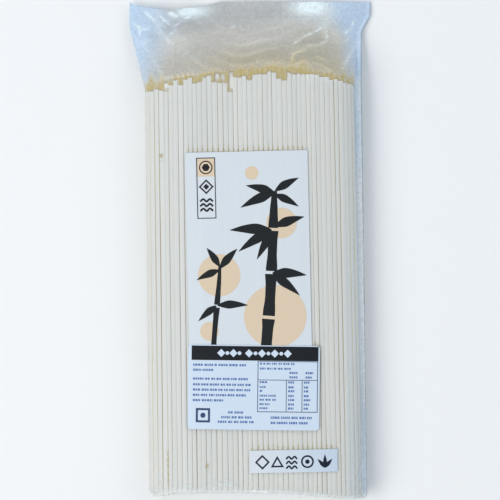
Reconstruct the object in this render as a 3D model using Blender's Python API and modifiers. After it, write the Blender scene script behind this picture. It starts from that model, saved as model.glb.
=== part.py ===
"""A one-kilogram pack of dried udon noodles, lying on its back with the labelled front up.

A clear film tube, sealed at both ends, holds about five hundred straight noodle sticks. The film
is tight round the bundle, follows its outer sticks as low ridges, and runs on past their uneven
tips as a flat empty header. Three labels lie on the front: a tall printed panel, a wide
information sticker over the panel's lower end, and a small weight slip.

Metres. +X is to the right of the front, +Y runs from the foot of the pack to its header, +Z is up
out of the front. The origin is the middle of the pack's footprint, on the surface it lies on.
"""

import math
import random

import bmesh
import bpy
import numpy as np
from mathutils import Matrix, Vector

MM = 0.001

# The film tube, as it lies
PACK_LENGTH = 297.0 * MM
FLAT_WIDTH = 144.0 * MM
HEADER_LEFT_START_Y = 95.0 * MM
HEADER_LEFT_FULL_Y = 134.0 * MM
HEADER_RIGHT_START_Y = 129.0 * MM
HEADER_RIGHT_FULL_Y = 142.0 * MM
SEAL_LENGTH = 9.0 * MM
SEAL_THICKNESS = 1.0 * MM
SEAL_HEIGHT = 3.2 * MM
SEAL_CURL = 5.0 * MM
SEAL_CURL_X = -48.0 * MM
SEAL_CURL_REACH = 15.0 * MM
HEADER_WAVE = 0.8 * MM
SIDE_CREASE_HEIGHT = 12.0 * MM
FIN_THICKNESS = 1.0 * MM

# The rounded foot, whose right corner is its lowest, and the dip of the curled top edge
FOOT_DEPTH = 5.0 * MM
FOOT_CORNER = 4.0 * MM
FOOT_RISE = 4.2 * MM
FOOT_LEFT_FALL = 2.2 * MM
FOOT_SLANT_REACH = 30.0 * MM
EDGE_DIP_END_X = -19.0 * MM
EDGE_DIP = 4.3 * MM
EDGE_NOTCH = 1.8 * MM
EDGE_DIP_REACH = 12.0 * MM

# The bundle of noodles inside it: edges at the tips and at the foot, as it leans a little
PILE_HEIGHT = 29.0 * MM
PILE_LEFT_AT_TIPS = -62.5 * MM
PILE_LEFT_AT_FOOT = -59.8 * MM
PILE_RIGHT_AT_TIPS = 62.3 * MM
PILE_RIGHT_AT_FOOT = 67.4 * MM
FILM_RIGHT_AT_TIPS = 66.6 * MM
FILM_RIGHT_AT_FOOT = 69.9 * MM
HEADER_FIN = 2.0 * MM
PILE_SQUARENESS = 3.5
HEADER_SQUARENESS = 2.3
FLOOR_FLAT = 0.8 * MM

# The sticks that show as ridges, and the arc of their tips
STICK_WIDTH = 2.85 * MM
STICK_WIDTH_SPREAD = 0.16
VALLEY_DEPTH = 0.5 * MM
SUNK_STICK_DEPTH = 0.35 * MM
TIP_PEAK = Vector((15.0, 105.5)) * MM
TIP_FALL_LEFT = 10.8 * MM
TIP_FALL_RIGHT = 7.0 * MM
TIP_REACH_LEFT = 77.0 * MM
TIP_REACH_RIGHT = 45.0 * MM
TIP_SPREAD = 1.5 * MM
SHORT_TIP_SHARE = 0.12
SHORT_TIP_DROP = 4.5 * MM
TIP_STEP = 0.9 * MM
STICK_SEED = 11

# The labels: centre, size, corner radius and turn on the front
LABEL_THICKNESS = 0.25 * MM
TOUCH_GAP = 0.35 * MM
LABEL_STEP = 9.0 * MM
PANEL_CENTRE = Vector((-0.5, -22.5)) * MM
PANEL_SIZE = Vector((72.5, 161.5)) * MM
PANEL_TURN = math.radians(1.3)
STICKER_CENTRE = Vector((2.2, -81.2)) * MM
STICKER_SIZE = Vector((77.6, 49.9)) * MM
STICKER_TURN = math.radians(-0.7)
STICKER_CORNER = 2.0 * MM
SLIP_CENTRE = Vector((25.7, -124.7)) * MM
SLIP_SIZE = Vector((52.0, 13.3)) * MM
SLIP_TURN = math.radians(1.0)

# How finely the bag is faceted
RIDGE_FRACTIONS = (0.0, 0.25, 0.75)
UNDERSIDE_COLUMNS = 30
FOOT_ROWS = 4
BODY_ROWS = 7
TIP_ROWS = 10
HEADER_ROWS = 7
TIP_BAND_LOW_Y = 90.0 * MM
TIP_BAND_HIGH_Y = 109.0 * MM

FOOT_Y = -PACK_LENGTH / 2
HEAD_Y = PACK_LENGTH / 2
HALF_FLAT = FLAT_WIDTH / 2
SEAL_Y = HEAD_Y - SEAL_LENGTH


def clear_scene():
    """Removes whatever the file held before."""
    for obj in list(bpy.data.objects):
        bpy.data.objects.remove(obj, do_unlink=True)


def make_collection(name):
    collection = bpy.data.collections.new(name)
    bpy.context.scene.collection.children.link(collection)
    return collection


def make_material(name, colour, roughness):
    """A Principled material with one colour and roughness, and no metal."""
    material = bpy.data.materials.new(name)
    material.use_nodes = True
    shader = material.node_tree.nodes["Principled BSDF"]
    shader.inputs["Base Color"].default_value = (*colour, 1.0)
    shader.inputs["Roughness"].default_value = roughness
    shader.inputs["Metallic"].default_value = 0.0
    return material


def ramp(value, start, end):
    """0 before start, 1 after end, and a straight line between them."""
    return min(max((value - start) / (end - start), 0.0), 1.0)


def smooth(value, start, end):
    """0 before start, 1 after end, and an S-curve between them."""
    t = ramp(value, start, end)
    return t * t * (3.0 - 2.0 * t)


def mix(a, b, t):
    return a + (b - a) * t


def bump(value, centre, reach):
    """1 at the centre, falling to both sides as a bell curve."""
    return math.exp(-(((value - centre) / reach) ** 2))


def towards_tips(y):
    """0 at the pack's foot, 1 where the header starts to flare."""
    return ramp(y, FOOT_Y, HEADER_LEFT_START_Y)


def left_edge(y):
    """Left outline of the film: beside the sticks, then flaring to the flat width."""
    beside = mix(PILE_LEFT_AT_FOOT, PILE_LEFT_AT_TIPS, towards_tips(y))
    return mix(beside, -HALF_FLAT, ramp(y, HEADER_LEFT_START_Y, HEADER_LEFT_FULL_Y))


def right_edge(y):
    """Right outline of the film, which stands out past the sticks as a flat fin."""
    beside = mix(FILM_RIGHT_AT_FOOT, FILM_RIGHT_AT_TIPS, towards_tips(y))
    return mix(beside, HALF_FLAT, smooth(y, HEADER_RIGHT_START_Y, HEADER_RIGHT_FULL_Y))


def pile_right(y):
    """Right side of the sticks. In the header the fin narrows and the pile takes its place."""
    beside = mix(PILE_RIGHT_AT_FOOT, PILE_RIGHT_AT_TIPS, towards_tips(y))
    in_header = smooth(y, HEADER_LEFT_START_Y, HEADER_RIGHT_START_Y)
    return mix(beside, right_edge(y) - HEADER_FIN, in_header)


def tip_line(x):
    """How far up the pack the sticks reach: an arc that falls off to both sides."""
    off = x - TIP_PEAK.x
    if off < 0.0:
        return TIP_PEAK.y - TIP_FALL_LEFT * (off / TIP_REACH_LEFT) ** 2
    return TIP_PEAK.y - TIP_FALL_RIGHT * (off / TIP_REACH_RIGHT) ** 2


def top_edge_dip(x):
    """How far the curled left part of the film's top edge lies below its straight part."""
    u = (x + HALF_FLAT) / (EDGE_DIP_END_X + HALF_FLAT)
    if not 0.0 < u < 1.0:
        return 0.0
    broad = EDGE_DIP * math.sin(math.pi * u) ** 0.6 * (1.15 - 0.3 * u)
    return broad + EDGE_NOTCH * bump(u, 0.45, 0.07)


def foot_edge_rise(x):
    """How far the foot's outline lies above the right corner, its lowest point."""
    left_fall = FOOT_LEFT_FALL * (1.0 - smooth(x, -56.0 * MM, -42.0 * MM))
    right_fall = FOOT_RISE * ramp(x, 20.0 * MM, 65.0 * MM)
    return FOOT_RISE - left_fall - right_fall


def seal_height(x):
    """Height of the flat seal over the table: a lazy wave, with the left part curled up."""
    wave = 1.1 * MM * math.sin(x / (17.0 * MM)) + 0.5 * MM * math.sin(x / (7.3 * MM) + 1.0)
    return SEAL_HEIGHT + wave + SEAL_CURL * bump(x, SEAL_CURL_X, SEAL_CURL_REACH)


def header_wave(x, y, t):
    """Soft folds of the empty header, strongest midway between the tips and the seal."""
    slant = math.sin((0.8 * x + 0.6 * y) / (5.2 * MM))
    cross = math.sin((x - 1.3 * y) / (8.1 * MM) + 0.6)
    return HEADER_WAVE * (slant + 0.7 * cross) * math.sin(math.pi * t)


def crease_height(x, y):
    """Height of the side crease: partway up the pile, and at the seal's height in the header."""
    return mix(SIDE_CREASE_HEIGHT, seal_height(x), smooth(y, TIP_BAND_LOW_Y, SEAL_Y))


def foot_closing(y):
    """0 at the foot's slit, rising in a round to 1 where the pile has its full height."""
    left = 1.0 - ramp(y, FOOT_Y, FOOT_Y + FOOT_DEPTH)
    return (1.0 - left**3) ** (1.0 / 3.0)


def pinched(y, z):
    """Draws a height towards the thin slit at the foot."""
    half_slit = math.copysign(SEAL_THICKNESS / 2, z - SIDE_CREASE_HEIGHT)
    return mix(SIDE_CREASE_HEIGHT + half_slit, z, foot_closing(y))


class Section:
    """The film's cross-section at one place up the pack, as a superellipse over each face."""

    def __init__(self, y):
        self.y = y
        self.left = left_edge(y)
        self.right = right_edge(y)
        self.pile_right = pile_right(y)
        self.squareness = mix(
            PILE_SQUARENESS, HEADER_SQUARENESS, smooth(y, TIP_BAND_LOW_Y, SEAL_Y)
        )
        self.middle = (self.left + self.pile_right) / 2
        self.reach = (self.pile_right - self.left) / 2

    def across(self, theta):
        """Where an angle of the superellipse falls across the pack."""
        c = math.cos(theta)
        return self.middle + self.reach * math.copysign(abs(c) ** (2.0 / self.squareness), c)

    def rise(self, theta):
        """0 at the side crease and 1 at the crown."""
        return abs(math.sin(theta)) ** (2.0 / self.squareness)

    def header_fall(self, x):
        """0 over the sticks, and from their tips to 1 at the seal: how far the film has sunk."""
        t = ramp(self.y, tip_line(x), SEAL_Y)
        return t, 0.5 * t + 0.5 * smooth(t, 0.0, 1.0)

    def front(self, theta, sink=0.0, tip=HEAD_Y):
        """A point of the front, sunk by its stick's depth, or by the step past its tip."""
        x = self.across(theta)
        t, fall = self.header_fall(x)
        crown = mix(PILE_HEIGHT, seal_height(x) + SEAL_THICKNESS / 2, fall)
        crease = crease_height(x, self.y)
        z = crease + (crown + header_wave(x, self.y, t) - crease) * self.rise(theta)
        z = max(z, crease + FIN_THICKNESS / 2)
        depth = sink if self.y < tip else TIP_STEP
        depth *= foot_closing(self.y) * (1.0 - smooth(t, 0.6, 1.0))
        inward = Vector((math.cos(theta) ** 3, math.sqrt(abs(math.sin(theta))))).normalized()
        return x - depth * inward.x, pinched(self.y, z - depth * inward.y)

    def underside(self, theta):
        """A point of the underside, which lies flat on the table and lifts to the seal."""
        x = self.across(theta)
        fall = self.header_fall(x)[1]
        base = mix(0.0, seal_height(x) - SEAL_THICKNESS / 2, fall * fall)
        crease = crease_height(x, self.y)
        z = max(crease - (crease - base + FLOOR_FLAT) * self.rise(theta), base)
        return x, pinched(self.y, min(z, crease - FIN_THICKNESS / 2))


class FrontArc:
    """Arc length over the front, from the left crease to the right one, midway along."""

    def __init__(self):
        section = Section(0.0)
        self.angles = np.linspace(math.pi, 0.0, 2001)
        points = np.array([section.front(theta) for theta in self.angles])
        steps = np.hypot(*np.diff(points, axis=0).T)
        run = np.concatenate([[0.0], np.cumsum(steps)])
        self.length = run[-1]
        self.shares = run / run[-1]

    def angle(self, share):
        return float(np.interp(share, self.shares, self.angles))


def crown_height(x, y):
    """Height of the smooth film over the bundle at a place on the front."""
    section = Section(y)
    off = min(abs((x - section.middle) / section.reach), 1.0)
    rise = (1.0 - off**PILE_SQUARENESS) ** (1.0 / PILE_SQUARENESS)
    return mix(SIDE_CREASE_HEIGHT, PILE_HEIGHT, rise)


def make_sticks(arc):
    """The front's sticks, left to right: start and width as shares of the arc, sink, tip."""
    rng = random.Random(STICK_SEED)
    count = round(arc.length / STICK_WIDTH)
    spread = STICK_WIDTH_SPREAD
    widths = [1.0 + rng.uniform(-spread, spread) for _ in range(count)]
    sticks = []
    start = 0.0
    for width in widths:
        share = width / sum(widths)
        x = Section(HEADER_LEFT_START_Y).across(arc.angle(start + share / 2))
        tip = tip_line(x) + rng.gauss(0.0, TIP_SPREAD)
        if rng.random() < SHORT_TIP_SHARE:
            tip -= SHORT_TIP_DROP
        sticks.append((start, share, rng.uniform(0.0, SUNK_STICK_DEPTH), tip))
        start += share
    return sticks


def front_columns(arc):
    """(angle, sink, tip) of each lengthwise line of the front: a valley, then two on a stick."""
    columns = []
    before = None
    for start, share, sink, tip in make_sticks(arc):
        for fraction in RIDGE_FRACTIONS:
            theta = arc.angle(start + share * fraction)
            if fraction > 0.0:
                columns.append((theta, sink, tip))
            elif before:
                valley = max(sink, before[0]) + VALLEY_DEPTH
                columns.append((theta, valley, min(tip, before[1])))
        before = sink, tip
    return columns


def ring_heights():
    """Places up the pack of the loft's rings, closest where the tips are."""
    foot = [FOOT_Y + FOOT_DEPTH * (k / FOOT_ROWS) ** 1.6 for k in range(FOOT_ROWS)]
    body = np.linspace(FOOT_Y + FOOT_DEPTH, TIP_BAND_LOW_Y, BODY_ROWS, endpoint=False)
    tips = np.linspace(TIP_BAND_LOW_Y, TIP_BAND_HIGH_Y, TIP_ROWS, endpoint=False)
    header = np.linspace(TIP_BAND_HIGH_Y, SEAL_Y, HEADER_ROWS, endpoint=False)
    return [*foot, *body, *tips, *header, SEAL_Y, HEAD_Y]


def corner_inset(y):
    """How far a foot corner is rounded off here, as a quarter circle."""
    u = 1.0 - ramp(y, FOOT_Y, FOOT_Y + FOOT_CORNER)
    return FOOT_CORNER * (1.0 - math.sqrt(1.0 - u * u))


def placed(section, x, z):
    """Applies the foot's round corners and slant, and the dip of the curled top edge."""
    inset = corner_inset(section.y)
    share = (x - section.left) / (section.right - section.left)
    x = mix(section.left + inset, section.right - inset, share)
    near_foot = 1.0 - smooth(section.y, FOOT_Y, FOOT_Y + FOOT_SLANT_REACH)
    near_head = smooth(section.y, SEAL_Y - EDGE_DIP_REACH, HEAD_Y)
    y = section.y + foot_edge_rise(x) * near_foot - top_edge_dip(x) * near_head
    return Vector((x, y, z))


def front_rim(section, columns):
    """One ring's front, from the left crease over the sticks to the fin's edge."""
    rim = [(section.left, section.front(math.pi)[1] - FIN_THICKNESS / 2)]
    rim += [section.front(*column) for column in columns]
    fin_top = section.front(0.0)[1]
    rim += [(section.pile_right, fin_top), (section.right, fin_top - FIN_THICKNESS / 2)]
    return [placed(section, x, z) for x, z in rim]


def under_rim(section, arc):
    """One ring's underside, from the fin's root back towards the left crease."""
    shares = np.linspace(1.0, 0.0, UNDERSIDE_COLUMNS)[:-1]
    rim = [section.underside(arc.angle(share)) for share in shares]
    return [placed(section, x, z) for x, z in rim]


def close_end(bm, front, under):
    """Closes the slit at an end with short triangles between its front and underside."""
    i = j = 0
    while i < len(front) - 1 or j < len(under) - 1:
        under_done = j == len(under) - 1
        if i < len(front) - 1 and (under_done or front[i + 1].co.x <= under[j + 1].co.x):
            bm.faces.new((front[i], under[j], front[i + 1]))
            i += 1
        else:
            bm.faces.new((front[i], under[j], under[j + 1]))
            j += 1


def add_object(collection, name, bm, material, sharp_angle):
    mesh = bpy.data.meshes.new(name)
    bm.to_mesh(mesh)
    bm.free()
    mesh.materials.append(material)
    mesh.shade_smooth()
    mesh.set_sharp_from_angle(angle=sharp_angle)
    obj = bpy.data.objects.new(name, mesh)
    collection.objects.link(obj)
    return obj


def build_bag(collection, material):
    """The sealed bag: a grid rolled into a tube through the rings, and closed at both ends."""
    arc = FrontArc()
    columns = front_columns(arc)
    sections = [Section(y) for y in ring_heights()]
    fronts = [front_rim(section, columns) for section in sections]
    rings = [
        front + under_rim(section, arc)
        for front, section in zip(fronts, sections, strict=True)
    ]
    fin = len(fronts[0])
    around, along = len(rings[0]), len(rings) - 1
    bm = bmesh.new()
    bmesh.ops.create_grid(bm, x_segments=around, y_segments=along, size=0.5)
    vertices = {}
    for vertex in bm.verts:
        i = round((vertex.co.x + 0.5) * around)
        j = round((vertex.co.y + 0.5) * along)
        vertex.co = rings[j][i % around]
        vertices[i, j] = vertex
    seam = {vertices[around, j]: vertices[0, j] for j in range(along + 1)}
    bmesh.ops.weld_verts(bm, targetmap=seam)
    for j in (0, along):
        front = [vertices[i, j] for i in range(fin)]
        under = [vertices[i, j] for i in range(around - 1, fin - 1, -1)]
        close_end(bm, front, under)
    bmesh.ops.triangulate(bm, faces=bm.faces, quad_method="SHORT_EDGE")
    bmesh.ops.recalc_face_normals(bm, faces=bm.faces)
    return add_object(collection, "noodle_bag", bm, material, math.radians(25.0))


def grid_lines(half, corner, step):
    """Grid lines from -half to half: even ones, and closer ones in the rounded corners."""
    inner = half - corner
    lines = list(np.linspace(-inner, inner, round(2 * inner / step) + 1))
    if corner > 0.0:
        steps = [corner * share for share in (0.4, 0.75, 1.0)]
        lines = [-inner - s for s in reversed(steps)] + lines + [inner + s for s in steps]
    return lines


def rounded(x, y, half, corner):
    """Moves a grid point in a corner's square onto the corner's quarter disc."""
    over_x, over_y = abs(x) - (half.x - corner), abs(y) - (half.y - corner)
    if corner <= 0.0 or over_x <= 0.0 or over_y <= 0.0:
        return x, y
    shrink = max(over_x, over_y) / math.hypot(over_x, over_y)
    round_x = half.x - corner + over_x * shrink
    round_y = half.y - corner + over_y * shrink
    return math.copysign(round_x, x), math.copysign(round_y, y)


def build_label(collection, name, centre, size, turn, corner, lift, material):
    """A paper label: a flat grid cut to its outline, bent over the bundle, then thickened."""
    half = size / 2
    xs = grid_lines(half.x, corner, LABEL_STEP)
    ys = grid_lines(half.y, corner, 2 * LABEL_STEP)
    across, along = len(xs) - 1, len(ys) - 1
    bm = bmesh.new()
    bmesh.ops.create_grid(bm, x_segments=across, y_segments=along, size=0.5)
    spin = Matrix.Rotation(turn, 2)
    for vertex in bm.verts:
        i = round((vertex.co.x + 0.5) * across)
        j = round((vertex.co.y + 0.5) * along)
        flat = Vector(rounded(xs[i], ys[j], half, corner))
        on_front = spin @ flat + centre
        vertex.co = (flat.x, flat.y, crown_height(on_front.x, on_front.y) + lift)
    label = add_object(collection, name, bm, material, math.radians(30.0))
    label.location = (centre.x, centre.y, 0.0)
    label.rotation_euler = (0.0, 0.0, turn)
    paper = label.modifiers.new("paper thickness", "SOLIDIFY")
    paper.thickness = LABEL_THICKNESS
    paper.offset = 1.0
    return label


def build_labels(collection):
    """The printed panel and the weight slip on the film, and the sticker over the panel."""
    on_film = TOUCH_GAP
    on_panel = 2 * TOUCH_GAP + LABEL_THICKNESS
    build_label(
        collection, "front_panel", PANEL_CENTRE, PANEL_SIZE, PANEL_TURN, 0.0, on_film,
        make_material("panel_paper", (0.68, 0.75, 0.80), 0.45),
    )
    build_label(
        collection, "info_sticker", STICKER_CENTRE, STICKER_SIZE, STICKER_TURN,
        STICKER_CORNER, on_panel, make_material("sticker_paper", (0.66, 0.78, 0.93), 0.35),
    )
    build_label(
        collection, "weight_slip", SLIP_CENTRE, SLIP_SIZE, SLIP_TURN, 0.0, on_film,
        make_material("slip_paper", (0.63, 0.72, 0.83), 0.40),
    )


def main():
    clear_scene()
    pack = make_collection("udon_noodle_pack")
    build_bag(pack, make_material("noodles_in_clear_film", (0.66, 0.67, 0.63), 0.25))
    build_labels(pack)


main()
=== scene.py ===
import math

import bpy
import numpy as np
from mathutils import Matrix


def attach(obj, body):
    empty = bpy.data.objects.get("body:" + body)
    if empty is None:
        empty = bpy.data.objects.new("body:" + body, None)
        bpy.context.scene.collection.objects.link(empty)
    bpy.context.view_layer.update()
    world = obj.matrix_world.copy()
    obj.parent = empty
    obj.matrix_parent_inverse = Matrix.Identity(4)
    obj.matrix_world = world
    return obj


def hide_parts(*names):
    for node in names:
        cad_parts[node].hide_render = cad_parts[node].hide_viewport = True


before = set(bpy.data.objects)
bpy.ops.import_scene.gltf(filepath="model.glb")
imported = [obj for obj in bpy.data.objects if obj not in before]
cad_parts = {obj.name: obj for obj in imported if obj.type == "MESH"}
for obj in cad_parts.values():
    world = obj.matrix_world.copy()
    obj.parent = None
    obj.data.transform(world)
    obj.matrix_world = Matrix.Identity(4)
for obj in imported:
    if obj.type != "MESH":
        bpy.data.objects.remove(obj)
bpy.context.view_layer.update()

# A one-kilogram pack of dried udon noodles on its back, labelled front up. Metres, and the frame of
# the CAD: +X is to the right of the front, +Y runs from the foot to the header, +Z is up.
MM = 0.001

# The view: straight down on the pack from two metres, header at the top, through a long lens.
CAMERA_HEIGHT = 2000.0 * MM
CAMERA_LENS = 240.3

camera_data = bpy.data.cameras.new("view_from_above")
camera_data.sensor_width = 36.0
camera_data.lens = CAMERA_LENS
camera_data.clip_start = 0.1
camera_data.clip_end = 20.0
camera = bpy.data.objects.new("view_from_above", camera_data)
camera.location = (0.0, 0.0, CAMERA_HEIGHT)
bpy.context.scene.collection.objects.link(camera)
bpy.context.scene.camera = camera
bpy.context.scene.view_settings.view_transform = "Standard"

# The table top: a plain white sheet that the pack lies on. It isn't part of the pack.
FLOOR_HALF = 3.0
FLOOR_DROP = 0.3 * MM
FLOOR_COLOUR = (0.95, 0.95, 0.95, 1.0)


def make_mesh(name, points, faces):
    """A mesh object from an array of points and a list of faces, at the origin."""
    mesh = bpy.data.meshes.new(name)
    mesh.from_pydata(points, [], faces)
    mesh.update()
    piece = bpy.data.objects.new(name, mesh)
    bpy.context.scene.collection.objects.link(piece)
    return piece


def new_material(name, roughness):
    """A node material with this roughness, its Principled shader and its node tree."""
    material = bpy.data.materials.new(name)
    material.use_nodes = True
    shader = material.node_tree.nodes["Principled BSDF"]
    shader.inputs["Roughness"].default_value = roughness
    return material, shader, material.node_tree


floor_corners = [
    (FLOOR_HALF * side_x, FLOOR_HALF * side_y, -FLOOR_DROP)
    for side_x, side_y in ((-1, -1), (1, -1), (1, 1), (-1, 1))
]
white_table = make_mesh("white_table", floor_corners, [(0, 1, 2, 3)])
table_white, table_shader = new_material("table_white", 0.9)[:2]
table_shader.inputs["Base Color"].default_value = FLOOR_COLOUR
white_table.data.materials.append(table_white)

# The studio: a big soft window light low on the left, a weak cool fill on the right, a strip behind
# the header for the sheen on its film, and a small hard lamp for the glints on the creases. Each has
# its name, place, size, power and colour.
LAMPS = (
    ("window_light", (-1.0, -0.55, 1.45), 1.3, 16.6, (1.0, 0.985, 0.96)),
    ("fill_light", (1.4, 0.2, 1.3), 1.2, 4.9, (0.85, 0.93, 1.0)),
    ("header_strip", (0.3, 1.6, 1.0), 0.9, 4.0, (0.88, 0.94, 1.0)),
    ("crease_lamp", (-0.9, 1.2, 1.2), 0.45, 3.5, (0.92, 0.96, 1.0)),
)
SKY_COLOUR = (0.86, 0.93, 1.0, 1.0)
SKY_STRENGTH = 0.47

for name, place, size, power, colour in LAMPS:
    lamp_data = bpy.data.lights.new(name, "AREA")
    lamp_data.size = size
    lamp_data.energy = power
    lamp_data.color = colour
    lamp = bpy.data.objects.new(name, lamp_data)
    aim = -np.array(place) / np.linalg.norm(place)
    lamp.location = place
    lamp.rotation_euler = (math.acos(-aim[2]), 0.0, math.atan2(aim[0], -aim[1]) + math.pi)
    lamp.visible_camera = False
    bpy.context.scene.collection.objects.link(lamp)

sky = bpy.data.worlds.new("studio_walls")
sky.use_nodes = True
sky_light = sky.node_tree.nodes["Background"]
sky_light.inputs["Color"].default_value = SKY_COLOUR
sky_light.inputs["Strength"].default_value = SKY_STRENGTH
bpy.context.scene.world = sky

# The noodle sticks: about five hundred straight, flat-sided sticks of dried wheat dough, cut square
# and 250 mm long. They lie side by side in layers, and only the film holds them together.
FOOT_Y = -148.5 * MM
HEAD_Y = 148.5 * MM
LEAN_END_Y = 95.0 * MM
BUNDLE_LEFT = (-59.8 * MM, -62.5 * MM)
BUNDLE_RIGHT = (67.4 * MM, 62.3 * MM)
CREASE_Z = 12.0 * MM
TOP_REACH = 17.0 * MM
BOTTOM_REACH = 12.8 * MM
BUNDLE_POWER = 3.5
STICK_WIDTH = 2.9 * MM
STICK_THICKNESS = 1.95 * MM
STICK_CORNER = 0.24 * MM
FILM_CLEARANCE = 0.22 * MM
LAYER_HEIGHTS = MM * np.linspace(3.15, 25.7, 12)
STICK_PITCH = 2.97 * MM
# The outer ring of sticks is the front layer above this height, and takes this much room from the
# layers inside it
FRONT_HEIGHT = 19.0 * MM
RING_ROOM_SIDE = 2.7 * MM
RING_ROOM_TOP = 2.5 * MM
RING_ROOM_BOTTOM = 2.6 * MM
# Places along a stick, as a share of its length, where its mesh has a ring of points
STICK_STATIONS = (0.0, 0.0005, 0.2, 0.4, 0.6, 0.8, 0.95, 0.9995, 1.0)
STICK_SEED = 23
TIP_PEAK = (15.0 * MM, 105.5 * MM)
# Sticks from behind the front layer that show past short ones: where they are, and their reach. They
# lean up to the film at that end, and painted light makes them as bright there as the front ones.
BACK_TIPS = MM * np.array([(-49.4, 99.0), (-19.6, 104.5), (-16.1, 104.3), (-11.2, 105.3)])
SHOWN_LIFT = 1.1 * MM
SHOWN_PAINTED_LIGHT = 11.0
# How far up the pack each stick of the front layer reaches, from left to right between these ends
TIP_ENDS = (-59.2 * MM, 59.1 * MM)
FRONT_TIPS = MM * np.array([
    94.2, 95.7, 94.8, 94.2, 98.0, 101.8, 97.9, 101.1, 102.0, 98.7, 99.6, 102.4, 103.3, 99.6,
    99.0, 99.0, 93.8, 102.6, 102.4, 103.3, 100.8, 99.2, 104.0, 104.3, 104.3, 106.0, 105.3, 101.6,
    100.6, 105.0, 104.0, 104.3, 103.9, 103.9, 103.6, 102.3, 102.3, 100.6, 101.1, 100.1, 99.0, 98.3,
])
# Gaps of the front layer that stand open: where they are, as a share of the bundle's half width, and
# how wide they are at the foot and at the tips, in millimetres
OPEN_GAPS = np.array([
    (-0.885, 0.06, 0.22), (-0.815, 0.18, 0.06), (-0.765, 0.08, 0.09), (-0.716, 0.12, 0.05),
    (-0.673, 0.03, 0.11), (-0.622, 0.10, 0.11), (-0.576, 0.12, 0.07), (-0.526, 0.31, 0.03),
    (-0.472, 0.09, 0.08), (-0.376, 0.17, 0.05), (-0.322, 0.09, 0.20), (-0.267, 0.11, 0.17),
    (-0.219, 0.06, 0.14), (-0.180, 0.15, 0.05), (-0.125, 0.10, 0.12), (-0.045, 0.14, 0.07),
    (0.011, 0.20, 0.03), (0.135, 0.06, 0.15), (0.195, 0.17, 0.05), (0.230, 0.07, 0.11),
    (0.284, 0.15, 0.05), (0.552, 0.15, 0.03), (0.600, 0.15, 0.07), (0.660, 0.16, 0.15),
    (0.780, 0.30, 0.22), (0.828, 0.07, 0.15), (0.877, 0.09, 0.11),
])
# Colour of the sticks' lit faces, and of the painted warm shade on their sides and inside the bundle
NOODLE_FACE = (0.735, 0.745, 0.722, 1.0)
NOODLE_SHADE_SIDE = (0.930, 0.710, 0.300, 1.0)


def ramp(value, start, end):
    """0 before start, 1 after end, and a straight line between them."""
    return np.clip((value - start) / (end - start), 0.0, 1.0)


def smooth(value, start, end):
    """0 before start, 1 after end, and the S-curve t * t * (3 - 2 * t) between them."""
    t = ramp(value, start, end)
    return t * t * (3.0 - 2.0 * t)


def mix(a, b, t):
    """The value a share t of the way from a to b."""
    return a + (b - a) * t


def bell(value, centre, reach):
    """1 at the centre, falling to both sides as exp of minus the squared distance."""
    return np.exp(-(((value - centre) / reach) ** 2))


def bundle_middle(y):
    """Middle and half width of the bundle at a place up the pack: both straight lines, as it leans."""
    t = (y - FOOT_Y) / (LEAN_END_Y - FOOT_Y)
    left = mix(*BUNDLE_LEFT, t)
    right = mix(*BUNDLE_RIGHT, t)
    return (left + right) / 2, (right - left) / 2


def tip_line(x):
    """How far up the sticks reach on average: a parabola that falls to both sides of its peak."""
    off = x - TIP_PEAK[0]
    left_fall = 10.8 * MM * (off / (77.0 * MM)) ** 2
    right_fall = 7.0 * MM * (off / (45.0 * MM)) ** 2
    return TIP_PEAK[1] - np.where(off < 0.0, left_fall, right_fall)


def foot_edge_rise(x):
    """How far the foot of the pack lies above its lowest point, the right corner."""
    left_fall = 2.2 * MM * (1.0 - smooth(x, -56.0 * MM, -42.0 * MM))
    return 4.2 * MM * (1.0 - ramp(x, 20.0 * MM, 65.0 * MM)) - left_fall


def rounded(wave, power):
    """A superellipse's coordinate from a cosine or sine: its size to 2 / power, with its sign."""
    return np.sign(wave) * np.abs(wave) ** (2.0 / power)


def way_along(x, z):
    """How far along the line through some points each of them lies."""
    return np.concatenate([[0.0], np.cumsum(np.hypot(np.diff(x), np.diff(z)))])


def outer_ring(rng):
    """Centres of the outer layer of sticks: places at each stick's own width along the superellipse
    |x / half width| ** 3.5 + |z / half height| ** 3.5 = 1, cut flat at the table and moved inwards
    by half a stick. Gives x, z, turn, width and angle of each stick."""
    theta = np.linspace(0.0, 2.0 * math.pi, 8001)
    x = bundle_middle(0.0)[1] * rounded(np.cos(theta), BUNDLE_POWER)
    reach = np.where(np.sin(theta) > 0.0, TOP_REACH, BOTTOM_REACH)
    z = np.maximum(CREASE_Z + reach * rounded(np.sin(theta), BUNDLE_POWER), 0.0)
    way = way_along(x, z)
    even = np.linspace(0.0, way[-1], 3001)
    x, z, theta = (np.interp(even, way, values) for values in (x, z, theta))
    turn = np.unwrap(np.arctan2(np.gradient(z), np.gradient(x)))
    inset = FILM_CLEARANCE + STICK_THICKNESS / 2
    x, z = x - inset * np.sin(turn), z + inset * np.cos(turn)
    way = way_along(x, z)
    widths = rng.uniform(0.86, 1.14, round(way[-1] / STICK_WIDTH))
    widths *= way[-1] / widths.sum()
    centres = np.cumsum(widths) - widths / 2
    ring = [np.interp(centres, way, values) for values in (x, z, turn)]
    return ring + [widths, np.interp(np.cumsum(widths), way, theta)]


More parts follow.
